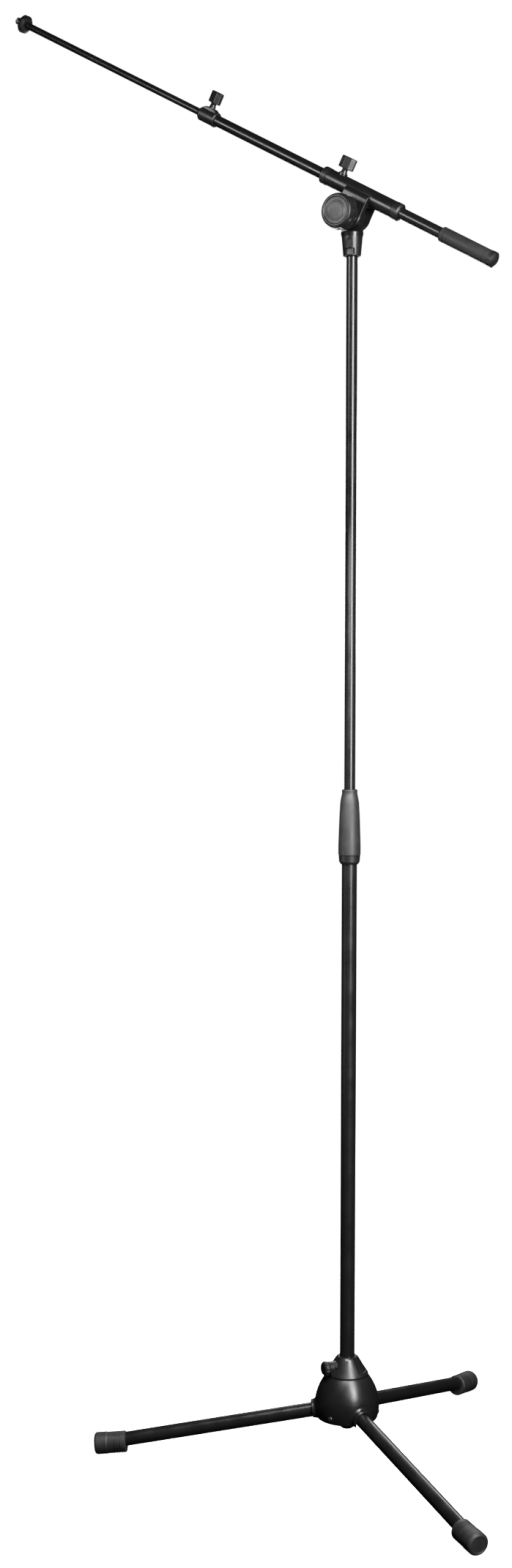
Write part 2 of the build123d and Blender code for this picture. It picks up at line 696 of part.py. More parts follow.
# The T-shaped clamp: a sleeve round the boom, and a deep web forked over the tongue.
with BuildPart() as boom_clamp:
    web_end = Plane(boom_foot - boom_along * web_half_width, x_dir=(0, -1, 0), z_dir=boom_along)
    with BuildSketch(web_end) as web_section:
        with Locations((0, 0.5 * (web_top - boom_offset))):
            Rectangle(2 * web_half_depth, web_top + boom_offset)
        fillet(web_section.vertices().sort_by(Axis.Y)[-2:], radius=web_shoulder)
    extrude(amount=2 * web_half_width)
    for end in (boom_clamp.faces().sort_by(boom_axis)[0], boom_clamp.faces().sort_by(boom_axis)[-1]):
        fillet(end.edges(), radius=cast_rounding)
    drum = [(-web_half_depth, 0), (-web_half_depth, cheek_radius - cast_rounding)]
    drum += [(cast_rounding - web_half_depth, cheek_radius), (web_half_depth - cast_rounding, cheek_radius)]
    drum += [(web_half_depth, cheek_radius - cast_rounding), (web_half_depth, 0)]
    revolve(outline(knob_frame, drum), axis=pivot_axis)
    with BuildSketch(Plane(boom_foot - boom_along * sleeve_half, z_dir=boom_along)):
        Circle(clamp_radius)
    extrude(amount=2 * sleeve_half)
    with BuildSketch(Plane(boom_foot + boom_along * boom_screw_at, x_dir=boom_along, z_dir=boom_up)):
        Circle(boss_round)
    extrude(amount=clamp_radius + boss_rise)
    with BuildSketch(Plane(boom_foot - boom_along * sleeve_half, z_dir=boom_along)):
        Circle(clamp_bore)
    extrude(amount=2 * sleeve_half, mode=Mode.SUBTRACT)
    with BuildSketch(Plane(boom_foot + boom_along * boom_screw_at, x_dir=boom_along, z_dir=boom_up)):
        Circle(screw_shank + running)
    extrude(amount=2 * clamp_radius, mode=Mode.SUBTRACT)
    with BuildSketch(boom_frame):
        with Locations((0, -boom_offset)):
            Circle(tongue_radius + fork_clearance)
        with Locations((0, -boom_offset - cheek_radius)):
            Rectangle(4 * cheek_radius, 2 * cheek_radius)
        with Locations((0, -boom_offset)):
            Rectangle(4 * cheek_radius, 2 * (tongue_radius + fork_clearance))
    extrude(amount=slot_half, both=True, mode=Mode.SUBTRACT)
    with BuildSketch(Plane(pivot, z_dir=(0, 1, 0))):
        Circle(bolt_radius)
    extrude(amount=2 * web_half_depth, both=True, mode=Mode.SUBTRACT)
    with BuildSketch(head_seat):
        RegularPolygon(bolt_head / 2, 6, major_radius=False)
    extrude(amount=head_depth, mode=Mode.SUBTRACT)
keep("boom_clamp", boom_clamp)

# The tilt bolt: its hexagon head is caught in the rear cheek.
knob_rear = web_half_depth + gap
knob_face = 44.6
bolt_end = knob_face - 6.0
with BuildPart() as tilt_bolt:
    with BuildSketch(head_seat):
        RegularPolygon(bolt_head / 2, 6, major_radius=False)
    extrude(amount=head_depth - 0.5)
    with BuildSketch(Plane(head_seat.origin, z_dir=(0, -1, 0))):
        Circle(bolt_radius)
    extrude(amount=web_half_depth - head_depth + bolt_end)
keep("tilt_bolt", tilt_bolt)

# The big tilt knob: a boss against the front cheek, a lobed skirt, and a rim round a sunken face.
knob_rim = 20.8
knob_skirt = 24.6
knob_lobes = 7
with BuildPart() as tilt_knob:
    with BuildSketch(knob_frame):
        with BuildLine():
            Polyline(
                (knob_rear, 0),
                (knob_rear, 11.0),
                (knob_rear + 5.0, 12.5),
                (knob_rear + 6.5, 18.0),
                (knob_face - 13.0, knob_skirt),
                (knob_face - 8.0, knob_skirt),
                (knob_face - 3.0, knob_rim + 0.6),
                (knob_face - 0.6, knob_rim),
                (knob_face, knob_rim - 1.6),
                (knob_face, knob_rim - 3.2),
                (knob_face - 1.6, knob_rim - 3.8),
                (knob_face - 1.6, 0),
                close=True,
            )
        make_face()
    revolve(axis=pivot_axis)
    with BuildSketch(Plane(pivot - Vector(0, knob_rear + 5.0, 0), x_dir=(1, 0, 0), z_dir=(0, -1, 0))):
        with PolarLocations(knob_skirt + 7.6, knob_lobes):
            Circle(10.0)
    extrude(amount=knob_face - 2.4 - knob_rear - 5.0, mode=Mode.SUBTRACT)
    with BuildSketch(Plane(pivot, z_dir=(0, -1, 0))):
        Circle(bolt_radius + running)
    extrude(amount=bolt_end + 0.5, mode=Mode.SUBTRACT)
keep("tilt_knob", tilt_knob)

# The knob's face disc, with a plain raised ring.
with BuildPart() as knob_disc:
    disc = [(knob_face - 1.6, 0), (knob_face - 1.6, knob_rim - 4.4), (knob_face - 0.8, knob_rim - 4.4)]
    disc += [(knob_face - 0.8, knob_rim - 8.5), (knob_face - 0.3, knob_rim - 8.9)]
    disc += [(knob_face - 0.3, knob_rim - 10.9), (knob_face - 0.8, knob_rim - 11.3), (knob_face - 0.8, 0)]
    revolve(outline(knob_frame, disc), axis=pivot_axis)
keep("tilt_knob_disc", knob_disc)

# The end bushes and the split liner that the boom slides in.
for name, side in (("boom_clamp_front_bush", 1), ("boom_clamp_rear_bush", -1)):
    with BuildPart() as bush:
        profile = [(sleeve_half - bush_depth, tube_running_bore), (sleeve_half - bush_depth, clamp_bore)]
        profile += [(sleeve_half, clamp_bore), (sleeve_half, clamp_radius - 0.4)]
        profile += [(sleeve_half + 0.9, clamp_radius - 0.4), (sleeve_half + 0.9, clamp_radius + 0.4)]
        profile += [(clamp_half_length - 2.0, clamp_radius + 0.4), (clamp_half_length, clamp_radius - 1.8)]
        profile.append((clamp_half_length, tube_running_bore))
        revolve(outline(boom_frame, [(side * along, out) for along, out in profile]), axis=boom_axis)
    keep(name, bush)

with BuildPart() as liner:
    half = sleeve_half - bush_depth - 0.1
    with BuildSketch(Plane(boom_foot - boom_along * half, x_dir=boom_up, z_dir=boom_along)):
        Circle(clamp_bore)
        Circle(tube_running_bore, mode=Mode.SUBTRACT)
        with Locations((-clamp_bore, 0)):
            Rectangle(4.0, 1.5, mode=Mode.SUBTRACT)
    extrude(amount=2 * half)
keep("boom_clamp_liner", liner)

# ---------------------------------------------------------------- boom

tube_front = collar_front - 19.0
grip_length = 87.0
cap_length = 9.5
dome_depth = 3.4
handle_radius = 9.7
handle_start = boom_rear + grip_length
inner_rear = tube_front - 47.0
inner_front = collar_front + 327.0
ring_rear = boom_tip - thread_length - 9.0

with BuildPart() as outer_boom_tube:
    with BuildSketch(Plane(boom_foot + boom_along * (boom_rear + 4.0), z_dir=boom_along)):
        Circle(outer_boom_radius)
        Circle(outer_boom_radius - tube_wall, mode=Mode.SUBTRACT)
    extrude(amount=tube_front - boom_rear - 4.0)
keep("outer_boom_tube", outer_boom_tube)

# The clamp collar on the outer tube's front end, with a raised boss for its thumbscrew.
collar_radius_boom = 9.4
boss_half = 5.5
boss_top = collar_radius_boom + 2.4
boss_crest = 6.0  # half the length of the boss's flat top, and of its foot
boss_foot = 11.5
collar_screw_at = collar_front - collar_length / 2
with BuildPart() as telescope_collar:
    rear = collar_front - collar_length
    sleeve = [(rear, outer_boom_radius), (rear, collar_radius_boom - 0.4)]
    sleeve.append((rear + 1.0, collar_radius_boom + 0.5))
    sleeve += [(rear + 3.0, collar_radius_boom + 0.5), (rear + 3.6, collar_radius_boom)]
    sleeve += [(collar_front - 3.0, collar_radius_boom), (collar_front, collar_radius_boom - 2.4)]
    sleeve += [(collar_front, inner_boom_radius + running), (tube_front, inner_boom_radius + running)]
    sleeve.append((tube_front, outer_boom_radius))
    revolve(outline(boom_frame, sleeve), axis=boom_axis)
    boss = [(collar_screw_at - boss_foot, 0), (collar_screw_at - boss_foot, collar_radius_boom - 1.0)]
    boss += [(collar_screw_at - boss_crest, boss_top), (collar_screw_at + boss_crest, boss_top)]
    boss += [(collar_screw_at + boss_foot, collar_radius_boom - 1.0), (collar_screw_at + boss_foot, 0)]
    extrude(outline(boom_frame, boss), amount=boss_half, both=True)
    crests = telescope_collar.faces().sort_by(Axis(boom_foot, boom_up))[-1].edges()
    fillet(crests, radius=cast_rounding)
    with BuildSketch(Plane(boom_foot + boom_along * rear, z_dir=boom_along)):
        Circle(outer_boom_radius)
    extrude(amount=tube_front - rear, mode=Mode.SUBTRACT)
    with BuildSketch(Plane(boom_foot + boom_along * rear, z_dir=boom_along)):
        Circle(inner_boom_radius + running)
    extrude(amount=2 * collar_length, mode=Mode.SUBTRACT)
    with BuildSketch(Plane(boom_foot + boom_along * collar_screw_at, x_dir=boom_along, z_dir=boom_up)):
        Circle(screw_shank + running)
    extrude(amount=2 * collar_radius_boom, mode=Mode.SUBTRACT)
keep("telescope_collar", telescope_collar)

# The thumbscrews: a steel shank in a flat faceted head on a tapered neck.
head_bottom = 18.5
head_height = 15.2
head_half_length = 10.3
head_half_width = 5.8
for place, at, tip, base, turned in (
    ("boom_clamp", boom_screw_at, clamp_bore, clamp_radius + 1.6, 12.0),
    ("telescope", collar_screw_at, inner_boom_radius + running, collar_radius_boom + 2.4, -14.0),
):
    foot = boom_foot + boom_along * at
    frame = Plane(foot, x_dir=boom_up, z_dir=(0, 1, 0))
    with BuildPart() as shank:
        with BuildSketch(Plane(foot + boom_up * (tip + 0.1), z_dir=boom_up)):
            Circle(screw_shank)
        extrude(amount=head_bottom + 5.0 - tip - 0.1)
    keep(f"{place}_screw_shank", shank)
    with BuildPart() as head:
        with BuildSketch(Plane(foot + boom_up * head_bottom, x_dir=boom_along, z_dir=boom_up)):
            with BuildLine(Rot(0, 0, turned)):
                corners = [(head_half_length, 2.4), (4.4, head_half_width), (-4.4, head_half_width)]
                corners += [(-head_half_length, 2.4), (-head_half_length, -2.4), (-4.4, -head_half_width)]
                corners += [(4.4, -head_half_width), (head_half_length, -2.4)]
                Polyline(*corners, close=True)
            make_face()
        extrude(amount=head_height)
        fillet(head.edges().filter_by(Axis(foot, boom_up)), radius=1.4)
        fillet(head.faces().sort_by(Axis(foot, boom_up))[-1].edges(), radius=1.2)
        fillet(head.faces().sort_by(Axis(foot, boom_up))[0].edges(), radius=1.2)
        neck = [(base + gap, 0), (base + gap, 4.6), (head_bottom - 2.0, 3.6), (head_bottom + 1.0, 4.4)]
        neck.append((head_bottom + 1.0, 0))
        revolve(outline(frame, neck), axis=Axis(foot, boom_up))
        with BuildSketch(Plane(foot, z_dir=boom_up)):
            Circle(screw_shank)
        extrude(amount=head_bottom + 5.0, mode=Mode.SUBTRACT)
    keep(f"{place}_screw_head", head)

# The hand grip on the boom's rear end, with a ring groove at each end, and its domed cap.
with BuildPart() as rear_grip:
    joint = boom_rear + cap_length
    grip = [(joint, outer_boom_radius), (joint, handle_radius), (joint + 7.0, handle_radius)]
    grip += [(joint + 7.3, handle_radius - 0.7), (joint + 8.3, handle_radius - 0.7)]
    grip.append((joint + 8.6, handle_radius))
    grip += [(handle_start - 8.0, handle_radius), (handle_start - 7.7, handle_radius - 0.8)]
    grip += [(handle_start - 6.7, handle_radius - 0.8), (handle_start - 6.4, handle_radius)]
    grip += [(handle_start - 2.0, handle_radius), (handle_start, handle_radius - 1.6)]
    grip.append((handle_start, outer_boom_radius))
    revolve(outline(boom_frame, grip), axis=boom_axis)
keep("rear_grip", rear_grip)

with BuildPart() as rear_cap:
    with BuildSketch(boom_frame):
        with BuildLine():
            dome = TangentArc((boom_rear, 0), (boom_rear + dome_depth, handle_radius + 0.5), tangent=(0, 1))
            Polyline(
                dome @ 1,
                (joint, handle_radius + 0.5),
                (joint, outer_boom_radius),
                (boom_rear + 4.0, outer_boom_radius),
                (boom_rear + 4.0, 0),
                dome @ 0,
            )
        make_face()
    revolve(axis=boom_axis)
keep("rear_grip_cap", rear_cap)

# The guide bush at the inner tube's rear end, which slides in the outer tube.
bush_outer = outer_boom_radius - tube_wall - running
with BuildPart() as inner_guide:
    with BuildSketch(Plane(boom_foot + boom_along * (inner_rear + 3.0), z_dir=boom_along)):
        Circle(bush_outer)
        Circle(inner_boom_radius + running, mode=Mode.SUBTRACT)
    extrude(amount=12.0)
keep("inner_boom_guide", inner_guide)

with BuildPart() as inner_boom_tube:
    with BuildSketch(Plane(boom_foot + boom_along * inner_rear, z_dir=boom_along)):
        Circle(inner_boom_radius)
        Circle(inner_boom_radius - inner_boom_wall, mode=Mode.SUBTRACT)
    extrude(amount=inner_front - inner_rear)
    lip = [(inner_rear, inner_boom_radius - 0.5), (inner_rear, inner_boom_radius + 0.9)]
    lip += [(inner_rear + 2.4, inner_boom_radius + 0.9), (inner_rear + 2.4, inner_boom_radius - 0.5)]
    revolve(outline(boom_frame, lip), axis=boom_axis)
    bead = [(along + 13.0 + 2.4 + gap, out) for along, out in lip]
    revolve(outline(boom_frame, bead), axis=boom_axis)
keep("inner_boom_tube", inner_boom_tube)

# The microphone thread: a steel nose with a spigot in the inner tube.
with BuildPart() as microphone_thread:
    nose = [(inner_front - 12.0, 0), (inner_front - 12.0, inner_boom_radius - inner_boom_wall)]
    nose += [(inner_front, inner_boom_radius - inner_boom_wall), (inner_front, thread_radius)]
    nose += [(ring_rear + 9.2, thread_radius), (ring_rear + 9.2, thread_radius - 0.5)]
    nose += [(ring_rear + 9.9, thread_radius - 0.5), (ring_rear + 9.9, thread_radius)]
    nose += [(boom_tip - 0.8, thread_radius), (boom_tip, thread_radius - 0.8), (boom_tip, 0)]
    revolve(outline(boom_frame, nose), axis=boom_axis)
keep("microphone_thread", microphone_thread)

# The scalloped lock ring that runs on the thread.
lock_radius = 12.5
lock_scallops = 8
with BuildPart() as lock_ring:
    ring = [(ring_rear, thread_radius + running), (ring_rear, 8.6), (ring_rear + 1.2, lock_radius - 0.8)]
    ring += [(ring_rear + 2.2, lock_radius), (ring_rear + 6.6, lock_radius)]
    ring += [(ring_rear + 7.6, lock_radius - 1.0), (ring_rear + 8.7, 9.0)]
    ring.append((ring_rear + 8.7, thread_radius + running))
    revolve(outline(boom_frame, ring), axis=boom_axis)
    with BuildSketch(Plane(boom_foot + boom_along * (ring_rear - 1.0), z_dir=boom_along)):
        with PolarLocations(lock_radius + 2.2, lock_scallops):
            Circle(3.6)
    extrude(amount=12.0, mode=Mode.SUBTRACT)
keep("microphone_lock_ring", lock_ring)
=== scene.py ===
"""Looks of a boom microphone stand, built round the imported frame. Metres, +Z up, mast on the Z axis."""

import json

import bmesh
import bpy
import numpy as np
from mathutils import Matrix, Vector


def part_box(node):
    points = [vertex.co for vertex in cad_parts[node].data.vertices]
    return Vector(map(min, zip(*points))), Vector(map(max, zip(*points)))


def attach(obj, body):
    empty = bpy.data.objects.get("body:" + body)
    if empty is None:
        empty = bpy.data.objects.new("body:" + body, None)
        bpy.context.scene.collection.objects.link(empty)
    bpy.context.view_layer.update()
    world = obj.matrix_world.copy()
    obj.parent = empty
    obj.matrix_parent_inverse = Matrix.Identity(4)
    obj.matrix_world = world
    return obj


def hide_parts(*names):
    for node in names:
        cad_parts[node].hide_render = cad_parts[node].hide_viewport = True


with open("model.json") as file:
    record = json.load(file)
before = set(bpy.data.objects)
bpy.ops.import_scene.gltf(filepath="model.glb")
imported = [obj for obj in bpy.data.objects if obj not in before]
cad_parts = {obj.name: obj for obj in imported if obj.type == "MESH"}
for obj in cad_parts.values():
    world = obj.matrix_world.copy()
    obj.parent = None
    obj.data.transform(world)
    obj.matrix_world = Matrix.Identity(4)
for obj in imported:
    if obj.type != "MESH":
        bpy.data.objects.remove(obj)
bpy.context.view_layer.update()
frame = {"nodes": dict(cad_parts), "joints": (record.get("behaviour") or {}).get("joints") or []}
nodes = frame["nodes"]
joints = {joint["name"]: joint for joint in frame["joints"]}

# ------------------------------------------------------------------ camera
# A tripod camera at hip height, to the right of the stand's front, looking slightly down.
eye = Vector((1.4182, -2.5544, 1.1222))
heading = np.radians(121.464)
pitch = np.radians(-4.063)
roll = np.radians(0.082)
look = Vector((np.cos(heading) * np.cos(pitch), np.sin(heading) * np.cos(pitch), np.sin(pitch)))
camera_data = bpy.data.cameras.new("camera")
camera_data.sensor_width = 36.0
camera_data.lens = 50.91
camera = bpy.data.objects.new("camera", camera_data)
bpy.context.scene.collection.objects.link(camera)
turned_view = look.to_track_quat("-Z", "Y").to_matrix() @ Matrix.Rotation(roll, 3, "Z")
camera.matrix_world = Matrix.Translation(eye) @ turned_view.to_4x4()
bpy.context.scene.camera = camera

# ------------------------------------------------------------------ hub housing, crown and plate
# The housing and the crown above its seam are zinc castings with a black powder coat. The plate under them
# is moulded, and three screws with bright round heads hold it through the skirt.


def finish(name, colour, rough, grain, depth, mottle=0.25, metal=0.0, scuff=0.0):
    """A surface finish. Three noises on Object coordinates work together: a fine one, of the given grain in
    metres, raises a bump of the given depth and tints the colour, a coarse one varies the roughness by the
    mottle, and a third adds faint hand marks that polish the surface where scuff is above zero."""
    patch_scale, mark_scale = 45.0, 160.0
    material = bpy.data.materials.new(name)
    material.use_nodes = True
    tree = material.node_tree
    shader = tree.nodes["Principled BSDF"]
    shader.inputs["Metallic"].default_value = metal

    def node(kind, **values):
        made = tree.nodes.new(kind)
        for socket, value in values.items():
            made.inputs[socket.replace("_", " ")].default_value = value
        return made

    place = node("ShaderNodeTexCoord").outputs["Object"]
    fine = node("ShaderNodeTexNoise", Scale=1.0 / grain, Detail=3.0)
    coarse = node("ShaderNodeTexNoise", Scale=patch_scale, Detail=5.0)
    marks = node("ShaderNodeTexNoise", Scale=mark_scale, Detail=6.0, Roughness=0.7)
    tree.links.new(place, fine.inputs["Vector"])
    tree.links.new(place, coarse.inputs["Vector"])
    tree.links.new(place, marks.inputs["Vector"])
    spread = node("ShaderNodeMapRange", From_Min=0.3, From_Max=0.7, To_Min=rough * (1 - mottle),
                  To_Max=min(1.0, rough * (1 + mottle)))
    worn = node("ShaderNodeMapRange", From_Min=0.62, From_Max=0.78, To_Min=1.0, To_Max=1.0 - scuff)
    polish = node("ShaderNodeMath")
    polish.operation = "MULTIPLY"
    tree.links.new(coarse.outputs["Fac"], spread.inputs["Value"])
    tree.links.new(marks.outputs["Fac"], worn.inputs["Value"])
    tree.links.new(spread.outputs["Result"], polish.inputs[0])
    tree.links.new(worn.outputs["Result"], polish.inputs[1])
    tree.links.new(polish.outputs["Value"], shader.inputs["Roughness"])
    tint = tree.nodes.new("ShaderNodeMix")
    tint.data_type = "RGBA"
    tint.inputs["A"].default_value = (*[c * (1 - mottle) for c in colour], 1.0)
    tint.inputs["B"].default_value = (*[min(1.0, c * (1 + mottle)) for c in colour], 1.0)
    tree.links.new(fine.outputs["Fac"], tint.inputs["Factor"])
    tree.links.new(tint.outputs["Result"], shader.inputs["Base Color"])
    bump = node("ShaderNodeBump", Distance=depth, Strength=1.0)
    tree.links.new(fine.outputs["Fac"], bump.inputs["Height"])
    tree.links.new(bump.outputs["Normal"], shader.inputs["Normal"])
    return material


def coat(material, *names):
    """Gives CAD nodes a finish."""
    for name in names:
        nodes[name].data.materials.clear()
        nodes[name].data.materials.append(material)


casting_coat = finish("casting_powder_coat", (0.006, 0.006, 0.0065), 0.32, 0.0006, 0.000012, scuff=0.08)
moulded_black = finish("moulded_black", (0.007, 0.007, 0.0075), 0.4, 0.0005, 0.00002, scuff=0.12)
zinc_plate = finish("zinc_plate", (0.55, 0.55, 0.56), 0.32, 0.0005, 0.00001, metal=1.0)
coat(casting_coat, "hub_housing", "hub_crown")
coat(moulded_black, "hub_bottom_plate", "hub_clamp_knob")
coat(zinc_plate, "hub_plate_screws", "leg_hinge_pins", "hub_clamp_stud", "hub_brake_shoe")

# ------------------------------------------------------------------ stop screw in the crown
# A small domed steel screw beside the clamp boss. It keeps the crown from turning on the housing, and is
# driven straight into the casting.


def eased(corners, radius, steps=4):
    """The profile with its corners eased: at each, a parabola runs from a point before the corner to one
    after it, both this far away, or under half of the straight between two corners where that is less."""
    corners = np.array(corners, float)
    before, here, after = corners[:-2], corners[1:-1], corners[2:]

    def toward(other):
        gap = other - here
        length = np.linalg.norm(gap, axis=1, keepdims=True)
        return here + gap / length * np.minimum(radius, 0.45 * length)

    t = np.linspace(0, 1, steps + 1)[None, :, None]
    start, end = toward(before)[:, None], toward(after)[:, None]
    curve = (1 - t) ** 2 * start + 2 * t * (1 - t) * here[:, None] + t**2 * end
    return np.vstack([corners[:1], curve.reshape(-1, 2), corners[-1:]])


def skin(name, points, loop, material):
    """A mesh over a grid of points, rows by columns: each cell is one face. The columns join up into a loop
    where loop is true, and rows that shrink to one point close to a pole."""
    rows, columns = points.shape[:2]
    across = np.arange(columns if loop else columns - 1)
    low = np.arange(rows - 1)[:, None] * columns
    beside = (across + 1) % columns
    faces = np.stack([low + across, low + beside, low + columns + beside, low + columns + across], axis=-1)
    mesh = bpy.data.meshes.new(name)
    mesh.from_pydata(points.reshape(-1, 3).tolist(), [], faces.reshape(-1, 4).tolist())
    weld_distance = 1e-6
    shell = bmesh.new()
    shell.from_mesh(mesh)
    bmesh.ops.remove_doubles(shell, verts=shell.verts, dist=weld_distance)
    shell.to_mesh(mesh)
    shell.free()
    mesh.shade_smooth()
    mesh.materials.append(material)
    piece = bpy.data.objects.new(name, mesh)
    bpy.context.scene.collection.objects.link(piece)
    piece.modifiers.new("weighted_normals", "WEIGHTED_NORMAL").keep_sharp = True
    return piece


def turned(name, profile, origin, axis, material, sides=96, shape=None):
    """A turned piece: each profile point, a distance along the axis and a radius, is carried round the axis
    in equal steps. Where shape is given, the radius is multiplied by its value there."""
    axis = np.array(axis) / np.linalg.norm(axis)
    side = np.cross(axis, (0.0, 1.0, 0.0) if abs(axis[1]) < 0.9 else (1.0, 0.0, 0.0))
    side /= np.linalg.norm(side)
    up = np.cross(axis, side)
    angle = np.linspace(0, 2 * np.pi, sides, endpoint=False)[None, :]
    along, radius = np.array(profile, float).T[:, :, None]
    radius = radius * (np.ones_like(angle) if shape is None else shape(angle, along))
    around = np.cos(angle)[..., None] * side + np.sin(angle)[..., None] * up
    points = np.array(origin) + along[..., None] * axis + radius[..., None] * around
    return skin(name, points, True, material)


def settle(piece, body, slot, *replaced):
    """The piece moves with this body and stands for these CAD nodes, which it hides. The slot argument is
    not used.
    """
    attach(piece, body)
    if replaced:
        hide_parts(*replaced)


dull_screw = finish("blackened_screw", (0.05, 0.05, 0.05), 0.4, 0.0005, 0.00001, metal=1.0)
crown_low, crown_high = (np.array(corner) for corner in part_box("hub_crown"))
screw_radius = 0.0021
screw_seat = 0.0218  # from the mast's axis to the screw's neck
stop_turn = np.radians(-104.0)
stop_out = np.array((np.cos(stop_turn), np.sin(stop_turn), 0.0))
stop_level = 0.55  # a share of the crown's height
stop_height = crown_low[2] + stop_level * (crown_high[2] - crown_low[2])
screw_dome = eased([(-0.004, screw_radius), (0.0006, screw_radius), (0.0013, 0.0012), (0.0014, 0.0)], 0.0004)
screw_at = stop_out * screw_seat + (0, 0, stop_height)
stop_screw = turned("crown_stop_screw", screw_dome, screw_at, stop_out, dull_screw, 32)
settle(stop_screw, "tripod_hub", "steel_bright")

# ------------------------------------------------------------------ legs
# Each leg is a drawn steel tube with a satin black coat, on a moulded root that turns on the hinge pin. A
# soft rubber cap is pushed on its end.
tube_coat = finish("tube_powder_coat", (0.006, 0.006, 0.0065), 0.28, 0.0008, 0.000008, scuff=0.08)
soft_rubber = finish("soft_rubber", (0.012, 0.012, 0.012), 0.55, 0.0004, 0.00004)
for number in (1, 2, 3):
    coat(moulded_black, f"leg_{number}_root")
    coat(tube_coat, f"leg_{number}_tube")
    coat(soft_rubber, f"leg_{number}_foot")

# ------------------------------------------------------------------ mast
# Two drawn steel tubes, the upper sliding in the lower, with moulded plugs and a bush inside.
coat(tube_coat, "lower_tube", "upper_tube")
coat(moulded_black, "lower_tube_plug", "upper_tube_plug", "mast_guide_bush")
coat(moulded_black, "clutch_collar", "clutch_collet")

# ------------------------------------------------------------------ clutch grip
# The grip is a soft-touch sleeve moulded over a hard core: a straight rim over the collar, a long slow
# taper, and a round shoulder that closes on the upper tube.
soft_touch = finish("soft_touch", (0.013, 0.013, 0.0135), 0.5, 0.0005, 0.00005, scuff=0.2)
grip_low, grip_high = (np.array(corner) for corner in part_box("clutch_grip"))
grip_foot, grip_top = grip_low[2], grip_high[2]
grip_radius = 0.5 * (grip_high[0] - grip_low[0])
neck_radius = 0.5 * (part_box("upper_tube")[1][0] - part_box("upper_tube")[0][0])
tube_gap = 0.0003
barrel = [
    (grip_foot, grip_radius - 0.0024),
    (grip_foot, grip_radius - 0.0004),
    (grip_foot + 0.0012, grip_radius),
    (grip_foot + 0.014, grip_radius),
    (grip_top - 0.034, grip_radius - 0.0013),
    (grip_top - 0.016, grip_radius - 0.0024),
    (grip_top - 0.0048, grip_radius - 0.0048),
    (grip_top - 0.0006, neck_radius + 0.0022),
    (grip_top, neck_radius + 0.0012),
    (grip_top - 0.0004, neck_radius + tube_gap),
    (grip_top - 0.012, neck_radius + tube_gap),
]
clutch_barrel = turned("clutch_barrel", eased(barrel, 0.004), (0, 0, 0), (0, 0, 1), soft_touch, 128)
settle(clutch_barrel, "clutch_ring", "rubber_black", "clutch_grip")

# ------------------------------------------------------------------ boom joint castings and collar
# The swivel base and the forked clamp are zinc castings with the hub's powder coat. The collar, its clips,
# the washers and the bushes are moulded, and the ferrule between the prongs is plated steel.
dull_steel = finish("dull_steel", (0.06, 0.06, 0.06), 0.5, 0.0005, 0.00001, metal=1.0)
coat(casting_coat, "swivel_base", "boom_clamp")
coat(dull_steel, "joint_ferrule")
coat(zinc_plate, "tilt_bolt", "boom_clamp_screw_shank", "telescope_screw_shank")
coat(moulded_black, "joint_collar", "joint_lock_clips", "friction_washers", "boom_clamp_liner")
coat(moulded_black, "boom_clamp_front_bush", "boom_clamp_rear_bush", "boom_clamp_screw_head")

# ------------------------------------------------------------------ tilt knob
# A big moulded knob on the tilt bolt: a ribbed boss against the cheek, a lobed skirt for the fingers, and a
# smooth rim round a flat face with one plain raised ring.
knob_black = finish("knob_black", (0.009, 0.009, 0.0095), 0.36, 0.0005, 0.00004, scuff=0.15)
face_grey = finish("knob_face", (0.016, 0.016, 0.0165), 0.44, 0.0005, 0.00004)
knob_axis = np.array(joints["tilt_knob_turn"]["axis"])
knob_centre = np.array(joints["tilt_knob_turn"]["pos_m"])
knob_low, knob_high = (np.array(corner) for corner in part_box("tilt_knob"))
knob_depth = knob_high[1] - knob_low[1]
knob_reach = 0.5 * (knob_high[2] - knob_low[2])
back = knob_centre[1] - knob_high[1]
rim = knob_reach - 0.0032
knob_section = [
    (back, 0.0052),
    (back, 0.0122),
    (back + 0.0045, 0.0145),
    (back + 0.0075, 0.0185),
    (back + 0.0105, knob_reach - 0.0012),
    (back + 0.0185, knob_reach - 0.0012),
    (back + knob_depth - 0.0035, rim + 0.0008),
    (back + knob_depth - 0.0006, rim - 0.0004),
    (back + knob_depth, rim - 0.0022),
    (back + knob_depth, rim - 0.0036),
    (back + knob_depth - 0.0012, rim - 0.0042),
    (back + knob_depth - 0.0016, 0.0),
]

hollows, ribs = 7, 40


def lobes(angle, along):
    """Seven finger hollows: the radius falls by up to a tenth where the wave is high, fading out to nothing
    towards the smooth rim in front and towards the boss behind, which has forty fine ribs instead."""
    start, end = back + 0.006, back + knob_depth - 0.004
    middle = np.clip((along - start) / 0.006, 0, 1) * np.clip((end - along) / 0.007, 0, 1)
    boss = np.clip((start + 0.0015 - along) / 0.0015, 0, 1) * (along > back + 0.0003)
    hollow = (0.5 - 0.5 * np.cos(hollows * angle)) ** 2
    return 1 - 0.1 * middle * hollow - 0.035 * boss * (0.5 - 0.5 * np.cos(ribs * angle))


knob_profile = eased(knob_section, 0.0014, 5)
knob_grip = turned("tilt_knob_grip", knob_profile, knob_centre, knob_axis, knob_black, 280, lobes)
settle(knob_grip, "tilt_knob", "plastic_black", "tilt_knob")
face_at = back + knob_depth
face_section = [
    (face_at - 0.0016, rim - 0.0043),
    (face_at - 0.0007, rim - 0.0045),
    (face_at - 0.0006, rim - 0.0085),
    (face_at - 0.0001, rim - 0.0088),
    (face_at - 0.0001, rim - 0.0104),
    (face_at - 0.0006, rim - 0.0107),
    (face_at - 0.0004, 0.0),
]
knob_face = turned("tilt_knob_face", eased(face_section, 0.0003, 3), knob_centre, knob_axis, face_grey, 160)
settle(knob_face, "tilt_knob", "face_grey", "tilt_knob_disc")

